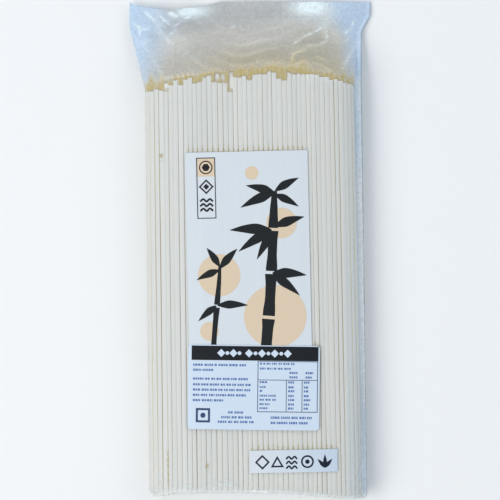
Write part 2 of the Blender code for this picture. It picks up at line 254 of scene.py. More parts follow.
def inner_layers(rng):
    """Centres of the sticks inside the outer ring: level layers one pitch apart, each as wide as the
    superellipse leaves room for at its height. Gives x, z, turn and width."""
    found = []
    half = bundle_middle(0.0)[1] - RING_ROOM_SIDE
    for z in LAYER_HEIGHTS:
        reach = TOP_REACH - RING_ROOM_TOP if z > CREASE_Z else BOTTOM_REACH - RING_ROOM_BOTTOM
        room = half * (1.0 - min(abs(z - CREASE_Z) / reach, 0.999) ** BUNDLE_POWER) ** (1.0 / BUNDLE_POWER)
        count = int(2.0 * room / STICK_PITCH)
        x = (np.arange(count) - (count - 1) / 2) * STICK_PITCH + rng.uniform(-0.5, 0.5) * MM
        if z == LAYER_HEIGHTS[-1]:
            x += BACK_TIPS[-1, 0] - x[np.abs(x - BACK_TIPS[-1, 0]).argmin()]
        found.append(np.stack([
            x + rng.uniform(-0.08, 0.08, count) * MM,
            z + rng.uniform(-0.05, 0.05, count) * MM,
            np.radians(rng.uniform(-2.0, 2.0, count)),
            STICK_WIDTH * rng.uniform(0.88, 0.96, count),
        ]))
    return np.concatenate(found, axis=1)


def give_values(piece, name, values):
    """Stores one number for each point of the mesh, for its material to read."""
    attribute = piece.data.attributes.new(name, "FLOAT", "POINT")
    attribute.data.foreach_set("value", np.asarray(values, np.float32).ravel())


def stick_ends(rng, x, z, outside):
    """Foot and tip of each stick. The front layer's tips are given one by one, and the others lie
    about the tip line. A stick that shows from behind is the nearest one to its place in the two top
    layers, and is moved there. Also gives which sticks are in front, and which show from behind."""
    front = outside & (z > FRONT_HEIGHT)
    nearest = np.rint((x - TIP_ENDS[0]) / (TIP_ENDS[1] - TIP_ENDS[0]) * (len(FRONT_TIPS) - 1))
    own_tip = FRONT_TIPS[np.clip(nearest, 0, len(FRONT_TIPS) - 1).astype(int)]
    tip = np.where(front, own_tip, tip_line(x) + rng.normal(-0.8, 1.9, len(x)) * MM)
    tip = np.minimum(tip, tip_line(x) + 1.5 * MM)
    second = np.flatnonzero(~outside & (z > LAYER_HEIGHTS[-2] - 0.5 * MM))
    shown = second[(np.abs(x[second][None, :] - BACK_TIPS[:, :1]) - z[second][None, :]).argmin(1)]
    tip[shown] = BACK_TIPS[:, 1]
    middle, half = bundle_middle(BACK_TIPS[:, 1])
    x[shown] = (BACK_TIPS[:, 0] - middle) / half * bundle_middle(0.0)[1]
    beside_corner = smooth(-x, 56.5 * MM, 58.5 * MM)
    foot = FOOT_Y + foot_edge_rise(x) + MM * (1.0 + 1.6 * beside_corner + rng.uniform(0.0, 0.4, len(x)))
    return foot, tip, front, shown


def stick_gaps(rng, edge_angle, share):
    """Width of the gap after each stick of the outer layer, at each share of its length: a hairline,
    but an open gap after the stick nearest to its place, and each a little uneven along its length."""
    gaps = rng.uniform(0.01, 0.04, (len(edge_angle), 2))
    edge_share = rounded(np.cos(edge_angle), BUNDLE_POWER)
    edge_share[np.sin(edge_angle) < 0.0] = np.inf
    gaps[np.abs(edge_share[None, :] - OPEN_GAPS[:, :1]).argmin(1)] = OPEN_GAPS[:, 1:]
    uneven = rng.uniform(0.6, 1.4, (len(edge_angle), share.size))
    return MM * mix(gaps[:, :1], gaps[:, 1:], share) * uneven


def noodle_sticks():
    """All sticks as one mesh: a rounded rectangle of 12 points, carried straight from each stick's
    foot to its tip and closed at both ends. The layers spread with the width of the bundle, and the
    sticks that show from behind lean up to the film. It also gives the places of the front layer's
    tips, and of the tips that show from behind."""
    rng = np.random.default_rng(STICK_SEED)
    *ring_places, edge_angle = outer_ring(rng)
    x, z, turn, width = np.concatenate([ring_places, inner_layers(rng)], axis=1)
    ring, count = len(edge_angle), len(x)
    outside = np.arange(count) < ring
    sink = np.where(outside, rng.uniform(0.0, 0.20, count) * MM, 0.0)
    x, z = x - sink * np.sin(turn), z + sink * np.cos(turn)
    foot, tip, front, shown = stick_ends(rng, x, z, outside)
    width[shown] = STICK_WIDTH
    lift = np.zeros((count, 1))
    lift[shown] = SHOWN_LIFT

    share = np.array(STICK_STATIONS)[None, :]
    stations = share.size
    gaps = stick_gaps(rng, edge_angle, share)
    after, before = np.zeros((2, count, stations, 1))
    after[:ring, :, 0], before[:ring, :, 0] = gaps / 2, np.roll(gaps, 1, axis=0) / 2
    y = mix(foot[:, None], tip[:, None], share)
    middle, half = bundle_middle(y)
    middle_x = middle + x[:, None] / bundle_middle(0.0)[1] * half
    bow = rng.normal(0.0, 0.10, count)[:, None] * MM * np.sin(math.pi * share)
    middle_x = middle_x + bow + rng.normal(0.0, 0.07, (count, 1)) * MM * (share - 0.5)
    middle_z = z[:, None] + lift * share

    angle = np.radians([0, 45, 90, 90, 135, 180, 180, 225, 270, 270, 315, 360])
    around = len(angle)
    side = np.repeat([1, -1, 1], [3, 6, 3])
    level = np.repeat([1, -1], 6)
    flank = width[:, None, None] / 2 - np.where(side > 0, after, before)
    across = side * (flank - STICK_CORNER) + STICK_CORNER * np.cos(angle)
    upward = level * (STICK_THICKNESS / 2 - STICK_CORNER) + STICK_CORNER * np.sin(angle)
    # the ring's turn runs anticlockwise, so its outward side is the profile's lower one
    cos, sin = np.cos(turn)[:, None, None], np.sin(turn)[:, None, None]
    points = np.empty((count, stations, around, 3))
    points[..., 0] = middle_x[:, :, None] + across * cos - upward * sin
    points[..., 1] = y[:, :, None]
    points[..., 2] = middle_z[:, :, None] + across * sin + upward * cos

    foot_caps = np.arange(count)[:, None] * stations * around + np.arange(around)
    tip_caps = foot_caps[:, ::-1] + (stations - 1) * around
    i = foot_caps[:, None, :] + np.arange(stations - 1)[None, :, None] * around
    j = np.roll(i, -1, axis=2)
    sides = np.stack([i, i + around, j + around, j], -1)
    faces = sides.reshape(-1, 4).tolist() + foot_caps.tolist() + tip_caps.tolist()
    piece = make_mesh("noodle_sticks", points.reshape(-1, 3), faces)
    piece.data.shade_smooth()
    piece.data.set_sharp_from_angle(angle=math.radians(50.0))

    # painted warm shade where a stick faces into the bundle or its neighbours, and on the sticks inside; none
    # on outward faces, nor on those that show from behind
    inward = np.where(level < 0, 0.0, 1.0) * np.ones((count, 1))
    edge_on = np.abs(np.sin(angle)) < 0.5
    warm_shade = np.where(outside[:, None], np.where(edge_on, 0.5, inward), 0.7)
    warm_shade = np.repeat(warm_shade[:, None, :], stations, axis=1)
    warm_shade[~outside, -2] = 0.3
    warm_shade[shown] = 0.0
    warm_shade[:, [0, -1]] = 0.12
    give_values(piece, "warm_shade", warm_shade)
    tone_and_light = rng.normal(0.0, 1.0, count)
    # painted light: the sticks that show from behind are made much brighter, against the shade they lie in
    tone_and_light[shown] = SHOWN_PAINTED_LIGHT
    give_values(piece, "tone_and_light", np.broadcast_to(tone_and_light[:, None, None], warm_shade.shape))
    tips = np.stack([middle_x[:, -1], tip])
    return piece, tips[:, front], tips[:, shown]


def add_node(tree, kind, inputs=(), **settings):
    """A new node of this kind, with its settings and the fixed values of some inputs."""
    node = tree.nodes.new(kind)
    for key, value in settings.items():
        setattr(node, key, value)
    for socket, value in dict(inputs).items():
        node.inputs[socket].default_value = value
    return node


def read_value(tree, name):
    """The node that reads a value stored at the mesh's points."""
    return add_node(tree, "ShaderNodeAttribute", attribute_name=name)


def wire(tree, *links):
    """Links nodes: each link is a node, its output, the next node and that one's input."""
    for start, output, end, socket in links:
        tree.links.new(start.outputs[output], end.inputs[socket])


def grain_group():
    """Fine mottling for paper, dough and film: noise, stretched by a scale for each axis. It puts
    out the colour times 1 + amount * (noise - 0.5), and the noise itself as a height."""
    group = bpy.data.node_groups.new("fine_grain", "ShaderNodeTree")
    for label, kind, start in (
        ("Colour", "NodeSocketColor", (1.0, 1.0, 1.0, 1.0)),
        ("Scale", "NodeSocketVector", (100.0, 100.0, 100.0)),
        ("Amount", "NodeSocketFloat", 0.1),
    ):
        group.interface.new_socket(name=label, in_out="INPUT", socket_type=kind).default_value = start
    group.interface.new_socket(name="Colour", in_out="OUTPUT", socket_type="NodeSocketColor")
    group.interface.new_socket(name="Height", in_out="OUTPUT", socket_type="NodeSocketFloat")
    start = add_node(group, "NodeGroupInput")
    end = add_node(group, "NodeGroupOutput")
    place = add_node(group, "ShaderNodeTexCoord")
    stretch = add_node(group, "ShaderNodeVectorMath", operation="MULTIPLY")
    noise = add_node(group, "ShaderNodeTexNoise", {"Scale": 1.0, "Detail": 3.0})
    centred = add_node(group, "ShaderNodeMath", {1: 0.5}, operation="SUBTRACT")
    amount = add_node(group, "ShaderNodeMath", {2: 1.0}, operation="MULTIPLY_ADD")
    tinted = add_node(group, "ShaderNodeVectorMath", operation="SCALE")
    wire(
        group,
        (place, "Object", stretch, 0),
        (start, "Scale", stretch, 1),
        (stretch, "Vector", noise, "Vector"),
        (noise, "Fac", centred, 0),
        (centred, "Value", amount, 0),
        (start, "Amount", amount, 1),
        (start, "Colour", tinted, 0),
        (amount, "Value", tinted, "Scale"),
        (tinted, "Vector", end, "Colour"),
        (noise, "Fac", end, "Height"),
    )
    return group


fine_grain = grain_group()


def add_grain(tree, scale, amount, colour=(1.0, 1.0, 1.0, 1.0)):
    """The fine grain group in a material, with its own scale, strength and colour."""
    inputs = {"Scale": scale, "Amount": amount, "Colour": colour}
    return add_node(tree, "ShaderNodeGroup", inputs, node_tree=fine_grain)


def add_bump(tree, grain, shader, strength, distance):
    """Feeds a grain's height to the shader's normal."""
    bump = add_node(tree, "ShaderNodeBump", {"Strength": strength, "Distance": distance})
    wire(tree, (grain, "Height", bump, "Height"), (bump, "Normal", shader, "Normal"))


def dried_dough():
    """Dried wheat dough: chalky off-white on the faces, with painted warm shade where a stick faces
    its neighbours and on the sticks inside, streaks along the stick, a slightly different tone for
    each, and painted light on the sticks that show from behind."""
    material, shader, tree = new_material("dried_udon_dough", 0.62)
    warm_shade = read_value(tree, "warm_shade")
    tone_and_light = read_value(tree, "tone_and_light")
    colour = add_node(tree, "ShaderNodeMix", {"A": NOODLE_FACE, "B": NOODLE_SHADE_SIDE}, data_type="RGBA")
    grain = add_grain(tree, (1400.0, 60.0, 1400.0), 0.07)
    toned = add_node(tree, "ShaderNodeMath", {1: 0.016, 2: 1.0}, operation="MULTIPLY_ADD")
    shaded = add_node(tree, "ShaderNodeVectorMath", operation="SCALE")
    wire(
        tree,
        (warm_shade, "Fac", colour, "Factor"),
        (colour, "Result", grain, "Colour"),
        (tone_and_light, "Fac", toned, 0),
        (grain, "Colour", shaded, 0),
        (toned, "Value", shaded, "Scale"),
        (shaded, "Vector", shader, "Base Color"),
    )
    add_bump(tree, grain, shader, 0.25, 0.05 * MM)
    return material


sticks, front_tips, back_tips = noodle_sticks()
sticks.data.materials.append(dried_dough())
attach(sticks, "root")

# The film bag: one tube of clear film, pulled tight round the sticks and sealed at both ends. It
# runs on past the tips as an empty header, flat and crumpled, and stands out as a fin on the right.
SEAL_Y = 139.5 * MM
HALF_FLAT = 72.0 * MM
FILM_RIGHT = (69.9 * MM, 66.6 * MM)
FILM_TOP = 29.0 * MM
FILM_OVERHANG = 2.0 * MM
FOOT_DEPTH = 2.0 * MM
FOOT_CORNER = 4.0 * MM
HALF_SEAL = 0.2 * MM
VALLEY_DEPTH = 0.3 * MM
LOOSE_Y = 90.0 * MM
SEAL_POWER = 2.3
FOOT_RINGS = 6
HEADER_RINGS = 100
# Rings of the film's mesh up the pack, from the end of the rounded foot to the header: where each
# stretch starts and ends, in millimetres, and how many rings it has. They lie closest by the labels'
# upper edges.
RING_STRETCHES = (
    (-146.5, -132.0, 14), (-132.0, -112.0, 22), (-112.0, -60.0, 4), (-60.0, -50.0, 12),
    (-50.0, 52.0, 7), (52.0, 64.0, 14), (64.0, 88.0, 4),
)
# Creases of the header in millimetres: height, reach to both sides, and the points they run through
CREASES = (
    (1.3, 0.9, (-62.9, 142.4), (-57.5, 137.4)),
    (1.5, 0.8, (-55.3, 141.1), (-48.6, 134.6)),
    (0.35, 1.6, (-57.0, 136.4), (-51.6, 129.6), (-48.6, 124.6)),
    (0.9, 1.0, (-45.1, 133.4), (-41.2, 136.9)),
    (0.8, 0.9, (-48.1, 127.9), (-44.6, 131.1)),
    (0.9, 0.9, (-39.2, 138.4), (-36.2, 139.0)),
    (1.1, 1.2, (-47.2, 141.4), (-43.6, 139.2)),
    (0.9, 1.3, (-69.3, 135.4), (-66.0, 133.0)),
    (0.9, 1.1, (-66.6, 133.3), (-65.6, 128.4)),
    (0.8, 1.0, (-65.0, 131.2), (-61.8, 131.9)),
    (0.30, 2.2, (-66.4, 125.6), (-59.5, 116.7), (-52.5, 104.8)),
    (0.22, 2.4, (-52.5, 128.5), (-39.7, 117.7), (-28.8, 111.7)),
    (0.6, 0.8, (-11.0, 133.0), (-9.5, 133.6)),
    (0.6, 0.8, (-6.0, 133.6), (-4.2, 132.0)),
    (1.1, 0.8, (26.5, 123.2), (31.0, 126.0), (33.4, 127.9)),
    (1.1, 1.1, (34.8, 128.2), (38.0, 129.6), (43.1, 132.9)),
    (0.8, 0.9, (34.8, 121.9), (41.0, 122.3), (46.7, 125.1)),
    (0.9, 0.8, (45.3, 132.5), (46.3, 126.6)),
    (1.2, 0.9, (25.0, 113.7), (26.5, 116.7), (32.9, 118.7)),
    (0.8, 1.0, (39.3, 114.7), (46.3, 112.2)),
    (0.5, 1.6, (25.5, 109.8), (31.4, 111.7), (39.3, 110.8), (51.2, 104.8)),
    (1.2, 1.0, (57.1, 129.6), (60.4, 132.6), (61.9, 136.6)),
    (0.8, 1.1, (57.6, 125.2), (58.6, 126.0)),
    (0.6, 1.9, (64.0, 123.6), (59.1, 115.7), (55.2, 107.8)),
)
# Small painted glints over the sticks, near the foot, in the same form as the creases
FOOT_GLINTS = (
    (1.2, 1.0, (69.4, -121.1), (66.2, -129.0), (64.3, -135.6)),
    (1.5, 0.7, (54.9, -136.1), (58.9, -136.1)),
    (1.0, 0.7, (-41.0, -138.6), (-35.5, -139.8)),
    (1.0, 0.7, (-29.5, -141.3), (-24.0, -139.8), (-19.0, -140.6)),
    (1.3, 0.8, (-20.5, -137.4), (-16.5, -138.9), (-12.2, -138.2)),
    (1.2, 0.8, (-14.0, -135.9), (-12.6, -139.0), (-8.0, -140.4)),
    (1.0, 0.7, (2.0, -142.2), (9.5, -143.0)),
    (0.8, 0.7, (-57.5, -141.0), (-50.5, -143.5)),
    (0.9, 0.6, (-54.5, -134.0), (-52.8, -138.0)),
)
# Painted shade and light on the flat facets between the creases, as a change of tone and their corners in
# millimetres
FACET_SHADING = (
    (
        -0.09, (28.0, 122.4), (32.7, 126.1), (40.5, 131.2), (44.4, 129.0), (46.2, 125.0),
        (40.5, 122.2), (34.5, 121.8),
    ),
    (-0.06, (26.8, 113.1), (29.8, 117.2), (40.5, 118.6), (48.2, 115.0), (40.5, 110.2), (30.9, 109.4)),
    (0.04, (46.8, 131.0), (53.5, 128.0), (55.0, 121.0), (47.5, 124.5)),
    (-0.09, (-45.4, 142.6), (-42.2, 143.0), (-39.9, 136.9), (-42.8, 133.9), (-46.0, 134.5)),
    (-0.08, (-53.6, 133.4), (-45.8, 133.6), (-46.0, 130.3), (-50.0, 126.8)),
    (0.05, (-62.0, 142.0), (-55.5, 141.0), (-49.0, 134.5), (-53.6, 133.9), (-59.6, 138.0)),
    (-0.05, (-60.0, 134.0), (-54.0, 132.0), (-50.4, 126.0), (-56.0, 122.0), (-62.0, 127.0)),
    (0.04, (-50.0, 126.0), (-44.0, 130.0), (-34.0, 124.0), (-38.0, 117.5)),
    (-0.03, (-34.0, 136.0), (-20.0, 134.0), (-14.0, 126.0), (-32.0, 125.0)),
    (0.03, (-12.0, 128.0), (4.0, 130.0), (14.0, 124.0), (2.0, 119.0)),
    (-0.04, (6.0, 118.0), (20.0, 121.0), (25.0, 114.0), (12.0, 110.5)),
)
# Hanging ripples, and soft patches of painted glare at the seal, in millimetres too. A patch has its
# strength, the two places of its centre, its slope, how many times wider than high it is, and its reach.
RIPPLE_CENTRE = (2.0, 158.0)
RIPPLE_PITCH = 6.4
SEAL_GLARE_PATCHES = (
    (1.2, 36.0, 145.5, 0.0, 2.0, 6.0),
    (0.35, 46.5, 137.0, 0.0, 1.0, 6.0),
    (0.9, -32.5, 142.5, 0.12, 2.5, 4.2),
    (0.9, -38.5, 142.6, 0.2, 1.8, 2.4),
    (0.9, -47.0, 140.7, -0.3, 1.6, 1.2),
)
# Upper edges of the slip, the panel and the sticker's right corner in millimetres, as left end, right
# end, height and slope, with painted golden shade above them, and the two small nicks where the film
# has caught on a stick, with painted shade on each and a painted glint below it
LABEL_UPPER_EDGES = ((-0.2, 51.6, -118.5, 0.017), (-38.5, 34.0, 57.4, 0.023), (36.9, 41.6, -56.8, -0.012))
NICKS = ((-52.5, 55.6), (-25.4, -127.6))
# A gap near the left side with painted golden shade in it over a stretch by the foot: its place
# across, and the upper and lower end of the stretch
SHADED_GAP = (-48.8, -117.0, -141.0)
CRINKLE_COUNT = 46
CRINKLE_SEED = 5


def left_edge(y):
    """Left outline of the film: beside the sticks, then a straight flare to the flat width."""
    beside = mix(*BUNDLE_LEFT, ramp(y, FOOT_Y, LEAN_END_Y))
    return mix(beside, -HALF_FLAT, ramp(y, LEAN_END_Y, 134.0 * MM))


def right_edge(y):
    """Right outline of the film: past the sticks, then an S-curve out to the flat width."""
    beside = mix(*FILM_RIGHT, ramp(y, FOOT_Y, LEAN_END_Y))
    return mix(beside, HALF_FLAT, smooth(y, 129.0 * MM, 142.0 * MM))


def round_right(y):
    """Right side of the rounded part of the film, with the flat fin beyond it."""
    beside = mix(*BUNDLE_RIGHT, ramp(y, FOOT_Y, LEAN_END_Y))
    return mix(beside, right_edge(y) - 2.0 * MM, smooth(y, LEAN_END_Y, 129.0 * MM))


def seal_height(x):
    """Height of the flat seal over the table: two sine waves, and the left part curled up."""
    wave = 1.1 * np.sin(x / (17.0 * MM)) + 0.5 * np.sin(x / (7.3 * MM) + 1.0)
    return MM * (3.2 + wave + 5.0 * bell(x, -48.0 * MM, 15.0 * MM))


def top_edge_dip(x):
    """How far the curled left part of the top edge lies below the rest: a lopsided arch."""
    u = np.clip((x + HALF_FLAT) / (53.0 * MM), 0.0, 1.0)
    broad = 4.3 * np.sin(math.pi * u) ** 0.6 * (1.15 - 0.3 * u)
    return MM * (broad + 1.8 * bell(u, 0.45, 0.07) * (u < 1.0))


def crease_field(x, y, creases, widen=1.0):
    """Sum of sharp ridges, all in millimetres: each is its height times exp of minus the distance to
    its line, over its reach."""
    total = np.zeros_like(x)
    for height, reach, *points in creases:
        away = np.full_like(x, np.inf)
        for (x0, y0), (x1, y1) in zip(points[:-1], points[1:]):
            run_x, run_y = x1 - x0, y1 - y0
            t = np.clip(((x - x0) * run_x + (y - y0) * run_y) / (run_x**2 + run_y**2), 0.0, 1.0)
            away = np.minimum(away, np.hypot(x - x0 - t * run_x, y - y0 - t * run_y))
        total += height * np.exp(-away / (reach * widen))
    return total


def facet_shading(x, y):
    """Sum of the facets' painted shade and light at places in millimetres: each fades in over a
    millimetre from its nearest side, by the least of the distances to its sides' lines."""
    total = np.zeros_like(x)
    for tone_and_light, *corners in FACET_SHADING:
        corners = np.array(corners)
        middle = corners.mean(0)
        inside = np.full_like(x, np.inf)
        for start, end in zip(corners, np.roll(corners, -1, axis=0)):
            normal = np.array([start[1] - end[1], end[0] - start[0]])
            normal *= np.sign(normal @ (middle - start)) / np.hypot(*normal)
            inside = np.minimum(inside, (x - start[0]) * normal[0] + (y - start[1]) * normal[1])
        total += tone_and_light * smooth(inside, -0.2, 1.0)
    return total


def random_crinkles():
    """Short shallow creases scattered over the header, in the same form as the named ones."""
    rng = np.random.default_rng(CRINKLE_SEED)
    found = []
    for _ in range(CRINKLE_COUNT):
        x, y, turn = rng.uniform(-66.0, 62.0), rng.uniform(108.0, 144.0), rng.uniform(0.0, math.pi)
        length = rng.uniform(4.0, 16.0)
        end = (x + length * math.cos(turn), y + length * math.sin(turn))
        found.append((rng.uniform(-0.25, 0.35), rng.uniform(0.8, 2.0), (x, y), end))
    return tuple(found)


def ripple_rings(x, y):
    """U-shaped ripples that hang from the seal, at places in millimetres: rings round a point above
    it, sharper on their crests than in their troughs, and uneven along their length."""
    away = np.hypot((x - RIPPLE_CENTRE[0]) * 0.9, y - RIPPLE_CENTRE[1])
    phase = away / RIPPLE_PITCH * math.pi + 0.9 * np.sin(x / 11.0) + 0.4 * np.sin(x / 4.0)
    rings = 2.0 * np.abs(np.sin(phase)) ** 6 - 0.6
    uneven = 0.6 + 0.4 * np.sin(x / 7.0 + away / 5.0)
    return rings * uneven * bell(x, 0.0, 32.0) * smooth(away, 24.0, 32.0)


def header_waves(x, y, t):
    """Soft folds of the empty header in millimetres: two slanting sine waves and the ripples."""
    slant = np.sin((0.8 * x + 0.6 * y) / 5.2) + 0.7 * np.sin((x - 1.3 * y) / 8.1 + 0.6)
    return (0.35 * slant + 0.30 * ripple_rings(x, y)) * np.sin(math.pi * t)


def film_angles():
    """Places across the front, from the left side crease to the right one: four to a stick, so
    that the film can dip between sticks. Gives the angle and the dip, from 0 to 1."""
    edges = outer_ring(np.random.default_rng(STICK_SEED))[4]
    edges = np.concatenate([[math.pi], edges[edges < math.pi][::-1], [0.0]])
    start, end = edges[:-1, None], edges[1:, None]
    shares = np.array([0.0, 0.25, 0.5, 0.75])
    angles = np.append(mix(start, end, shares).ravel(), 0.0)
    dips = np.append(np.tile([1.0, 0.15, 0.0, 0.15], len(edges) - 1), 1.0)
    return angles, dips


def film_rows():
    """Places up the pack of the film's rings, from the rounded foot to the top edge."""
    foot = FOOT_Y + FOOT_DEPTH * (np.arange(FOOT_RINGS) / FOOT_RINGS) ** 1.6
    body = [MM * np.linspace(*stretch, endpoint=False) for stretch in RING_STRETCHES]
    header = np.linspace(MM * RING_STRETCHES[-1][1], HEAD_Y, HEADER_RINGS)
    return np.concatenate([foot, *body, header])


def film_shape():
    """The film as two sheets of points, front and underside, over angle and place up the pack.
    Each section is a superellipse over its side crease, whose power falls from 3.5 to 2.3 and
    whose height falls along an S-curve from the sticks to the flat seal. The fin goes on from it."""
    angles, dips = film_angles()
    theta, y = np.meshgrid(angles, film_rows())
    loose = smooth(y, LOOSE_Y, SEAL_Y)
    power = mix(BUNDLE_POWER, SEAL_POWER, loose)
    left, right, inner = left_edge(y), right_edge(y), round_right(y)
    cos, sin = np.cos(theta), np.abs(np.sin(theta))
    x = (left + inner) / 2 + (inner - left) / 2 * rounded(cos, power)
    over_bundle = sin ** (2.0 / power)
    pillow = (1.0 - np.abs(cos) ** 2.2) ** 1.1
    rise = mix(over_bundle, pillow, smooth(y, 98.0 * MM, 125.0 * MM))
    t = ramp(y, tip_line(x) + FILM_OVERHANG, SEAL_Y)
    fall = 0.5 * t + 0.5 * smooth(t, 0.0, 1.0)
    crease = mix(CREASE_Z, seal_height(x), loose)
    closing = (1.0 - (1.0 - ramp(y, FOOT_Y, FOOT_Y + FOOT_DEPTH)) ** 4) ** 0.25
    creases = crease_field(x / MM, y / MM, CREASES + random_crinkles())
    folds = MM * (header_waves(x / MM, y / MM, t) + creases * smooth(t, 0.02, 0.2))
    crown = mix(FILM_TOP, seal_height(x) + HALF_SEAL, fall) + folds
    base = mix(0.0, seal_height(x) - HALF_SEAL, fall**2) + folds * smooth(t, 0.75, 1.0)
    dip = VALLEY_DEPTH * dips * closing * (1.0 - smooth(t, 0.0, 0.08))
    inward = np.stack([cos**3, np.sqrt(sin)])
    inward = inward / np.hypot(*inward)
    front_z = np.maximum(crease + (crown - crease) * rise, crease + HALF_SEAL) - dip * inward[1]
    under_z = np.maximum(crease - (crease - base + 0.8 * MM) * rise, base)
    under_z = np.minimum(under_z, np.minimum(crease, front_z) - HALF_SEAL)
    front_z = mix(CREASE_Z + HALF_SEAL, front_z, closing)
    under_z = mix(CREASE_Z - HALF_SEAL, under_z, closing)
    front = np.stack([x - dip * inward[0], y, front_z], -1)
    under = np.stack([x, y, under_z], -1)

    out = np.array([0.34, 0.67, 1.0])
    fin_y = np.broadcast_to(y[:, :1], (len(y), 3))
    fin_x = mix(inner[:, :1], right[:, :1], out)
    fin_z = crease[:, -1:] + 0.35 * MM * np.sin(fin_y / (9.0 * MM)) * out
    top = np.stack([fin_x, fin_y, fin_z + HALF_SEAL * (1.0 - out)], -1)
    bottom = np.stack([fin_x, fin_y, fin_z - HALF_SEAL * (1.0 - out)], -1)
    top_chain = np.concatenate([front, top], axis=1)
    bottom_chain = np.concatenate([under, bottom], axis=1)
    top_chain[:, 0] = bottom_chain[:, 0] = (top_chain[:, 0] + bottom_chain[:, 0]) / 2
    return top_chain, bottom_chain


def shape_ends(points):
    """Rounds the foot's corners, slants its edge and lowers the curled part of the top edge."""
    x, y = points[..., 0].copy(), points[..., 1].copy()
    u = 1.0 - ramp(y, FOOT_Y, FOOT_Y + FOOT_CORNER)
    inset = FOOT_CORNER * (1.0 - np.sqrt(1.0 - u * u))
    left, right = left_edge(y), right_edge(y)
    x = mix(left + inset, right - inset, (x - left) / (right - left))
    near_foot = 1.0 - smooth(y, FOOT_Y, FOOT_Y + 30.0 * MM)
    near_head = smooth(y, SEAL_Y - 12.0 * MM, HEAD_Y)
    points[..., 0] = x
    points[..., 1] = y + foot_edge_rise(x) * near_foot - top_edge_dip(x) * near_head
    return points


def clear_bag():
    """The bag as one closed skin: the two sheets joined along both sides and over both ends. It also
    gives the places of its points, and how deep each lies in a dip between two sticks, 0 to 1."""
    top, bottom = film_shape()
    rows, columns = top.shape[:2]
    ring = np.concatenate([top, bottom[:, -2:0:-1]], axis=1)
    around = ring.shape[1]
    points = shape_ends(ring.reshape(-1, 3))
    i = np.arange(rows * around).reshape(rows, around)
    j = np.roll(i, -1, axis=1)
    faces = np.stack([i[:-1], j[:-1], j[1:], i[1:]], -1).reshape(-1, 4).tolist()
    over = np.arange(columns)
    under = -over % around
    under[-1] = columns - 1
    end = np.stack([over[:-1], under[:-1], under[1:], over[1:]], -1)
    for cap in (end, end[:, ::-1] + (rows - 1) * around):
        faces += [list(dict.fromkeys(corner)) for corner in cap.tolist()]
    piece = make_mesh("film_bag", points, faces)
    piece.data.shade_smooth()
    dips = film_angles()[1]
    return piece, points, np.tile(np.append(dips, np.zeros(around - len(dips))), rows)


def from_screen(red, green, blue):
    """A colour given as seen on a screen, 0 to 255, as the light values that a shader takes."""
    share = np.array([red, green, blue]) / 255.0
    return np.where(share < 0.04045, share / 12.92, ((share + 0.055) / 1.055) ** 2.4)


def ink(red, green, blue):
    """The same colour as the four values of a shader's socket."""
    return (*from_screen(red, green, blue), 1.0)


def wash(colour, screen_colour, share):
    """Each point's colour, mixed by the point's own share with one colour as seen on a screen."""
    return mix(colour, from_screen(*screen_colour), share[:, None])


def past_the_tips(x, y):
    """How far a place lies past the tip of the nearest stick of the front layer, and past the last
    stick below it, which may be one that shows from behind."""
    nearest = np.abs(x[:, None] - front_tips[0]).argmin(1)
    past_front = y - front_tips[1][nearest]
    past_all = past_front
    for tip_x, tip_y in back_tips.T:
        shows = np.abs(x - tip_x) < 0.5 * STICK_WIDTH
        past_all = np.where(shows, np.minimum(past_all, y - tip_y), past_all)
    return past_front, past_all


def header_colour(x, y, above):
    """Colour of the loose header, at places in millimetres: greyish beige in its middle, greyer towards
    the seal, with a painted reflection of a blue sky at both sides, clouds of tone and painted sheen
    along the ripples. The flat facets between its creases get painted shade and light."""
    # painted reflection of a blue sky on both sides of the header
    blue_until = -42.0 + 0.45 * (np.maximum(y, LOOSE_Y / MM) - 118.0)
    left_sky_reflection = (1.0 - smooth(x, -68.0, blue_until)) * (y > LOOSE_Y / MM)
    blue_from = 51.0 - 0.6 * np.maximum(y - 126.0, 0.0)
    right_sky_reflection = smooth(x, blue_from, blue_from + 13.0)
    warm = bell(x, 40.0, 16.0) * bell(y, 120.0, 12.0)
    cooler = (1.0 - smooth(x, -42.0, -6.0)) * (1.0 - smooth(above, 14.0, 30.0))
    swirl = np.sin(x / 9.0 + 2.0 * np.sin(y / 13.0))
    cloud = swirl * np.sin(y / 6.5 - x / 21.0)
    colour = wash(from_screen(215, 204, 182), (227, 223, 216), smooth(above, 6.0, 23.0))
    colour = wash(colour, (201, 202, 202), smooth(above, 24.0, 38.0))
    colour = wash(colour, (208, 202, 182), 0.7 * warm)
    colour = wash(colour, (214, 212, 205), 0.75 * cooler)
    # clouds of tone, and painted sheen along the ripples
    colour = colour * (1.035 + 0.045 * cloud + 0.10 * ripple_rings(x, y))[:, None]
    colour = wash(colour, (208, 232, 255), 0.9 * left_sky_reflection)
    colour = wash(colour, (209, 230, 252), 0.9 * right_sky_reflection)
    # painted shade and light on the facets
    return colour * (1.0 + facet_shading(x, y))[:, None]


def painted_film_glints(x, y):
    """Painted glints and glare on the film, from 0 to 1, at places in millimetres: uneven glints along
    its creases, glints by the foot, painted glare in the soft patches at the seal, and a glint below each
    nick."""
    swirl = np.sin(x / 1.3 + 3.0 * np.sin(y / 1.9))
    glint_unevenness = 0.5 + 0.5 * swirl * np.sin(y / 1.1)
    white = np.clip(crease_field(x, y, CREASES, 0.5), 0.0, 1.0) * (0.3 + 0.8 * glint_unevenness)
    white += np.clip(crease_field(x, y, FOOT_GLINTS, 0.8), 0.0, 1.0) * (0.8 + 0.8 * glint_unevenness)
    for strength, centre_x, centre_y, slope, stretch, reach in SEAL_GLARE_PATCHES:
        off_x, off_y = x - centre_x, y - centre_y
        white += strength * bell(np.hypot(off_x / stretch, off_y - slope * off_x), 0.0, reach)
    for spot_x, spot_y in NICKS:
        white += 0.9 * bell(x, spot_x, 0.8) * bell(y, spot_y - 3.0, 1.0)
    return np.clip(white, 0.0, 1.0)


